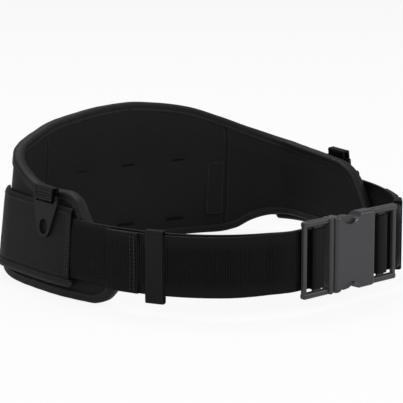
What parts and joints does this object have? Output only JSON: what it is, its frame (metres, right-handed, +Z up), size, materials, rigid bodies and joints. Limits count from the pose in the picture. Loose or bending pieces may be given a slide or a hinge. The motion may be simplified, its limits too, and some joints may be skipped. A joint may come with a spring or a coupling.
{
  "type": "padded tool belt",
  "caption": "Padded lumbar tool belt: contoured foam pad with bound edges, 50 mm webbing run through wing sleeves and back loops, side-release buckle, elastic keepers and suspender loops.",
  "frame": {"origin": "on the floor under the middle of the closed belt's bounding box", "axes": "+Z up; the wearer faces -Y, where the buckle is; +X is the wearer's left"},
  "size_m": [0.3286, 0.3207, 0.132],
  "materials": {
    "foam": "closed-cell foam, hidden between the cloths",
    "cover_cloth": "matt woven nylon",
    "lining_cloth": "soft matt cloth",
    "binding_tape": "woven tape with a slight sheen",
    "webbing": "ribbed webbing",
    "elastic": "knitted elastic",
    "thread": "satin thread",
    "buckle_plastic": "satin moulded",
    "loop_plastic": "satin moulded"
  },
  "bodies": {
    "belt": {"foam_core": "foam", "outer_cover": "cover_cloth", "inner_lining_center": "lining_cloth", "inner_lining_right": "lining_cloth", "inner_lining_left": "lining_cloth", "lining_patch": "lining_cloth", "edge_binding": "binding_tape", "bar_tacks": "thread", "main_webbing": "webbing", "right_strap_front": "webbing", "right_wing_sleeve": "cover_cloth", "left_wing_sleeve": "cover_cloth", "right_sleeve_piping": "binding_tape", "left_sleeve_piping": "binding_tape", "back_loop_right": "webbing", "back_loop_center": "webbing", "back_loop_left": "webbing", "right_strap_tail": "webbing", "left_strap_tail": "webbing", "left_strap_wrap": "webbing", "buckle_socket": "buckle_plastic", "right_loop_tab": "webbing", "left_loop_tab": "webbing"},
    "plug": {"buckle_plug": "buckle_plastic", "right_strap_wrap": "webbing"},
    "upper_arm": {"upper_latch_arm": "buckle_plastic"},
    "lower_arm": {"lower_latch_arm": "buckle_plastic"},
    "right_keeper_ring": {"right_keeper": "elastic"},
    "left_keeper_ring": {"left_keeper": "elastic"},
    "right_loop": {"right_suspender_loop": "loop_plastic"},
    "left_loop": {"left_suspender_loop": "loop_plastic"}
  },
  "joints": [
    {"name": "buckle_release", "type": "slide", "parent": "belt", "child": "plug", "axis": [-0.987, -0.1606, 0], "range_m": [0, 0.038], "deforming": ["upper_latch_arm", "lower_latch_arm", "right_strap_front", "right_strap_tail"]},
    {"name": "upper_latch_press", "type": "hinge", "parent": "plug", "child": "upper_arm", "pos_m": [0.00596, -0.15268, 0.05902], "axis": [-0.1606, 0.987, 0], "range_deg": [0, 15], "stiffness_Nm_per_rad": 0.3},
    {"name": "lower_latch_press", "type": "hinge", "parent": "plug", "child": "lower_arm", "pos_m": [0.00596, -0.15268, 0.02902], "axis": [0.1606, -0.987, 0], "range_deg": [0, 15], "stiffness_Nm_per_rad": 0.3},
    {"name": "right_keeper_slide", "type": "hinge", "parent": "belt", "child": "right_keeper_ring", "pos_m": [-0.01591, -0.02783, 0.044], "axis": [0, 0, 1], "range_deg": [0, 24]},
    {"name": "left_keeper_slide", "type": "hinge", "parent": "belt", "child": "left_keeper_ring", "pos_m": [-0.00072, -0.01736, 0.044], "axis": [0, 0, 1], "range_deg": [0, 6.5]},
    {"name": "right_loop_swing", "type": "hinge", "parent": "belt", "child": "right_loop", "pos_m": [-0.15439, 0.02402, 0.08252], "axis": [-0.0649, 0.9979, 0], "range_deg": [0, 120]},
    {"name": "left_loop_swing", "type": "hinge", "parent": "belt", "child": "left_loop", "pos_m": [0.15439, 0.02402, 0.08252], "axis": [-0.0649, -0.9979, 0], "range_deg": [0, 120]}
  ]
}
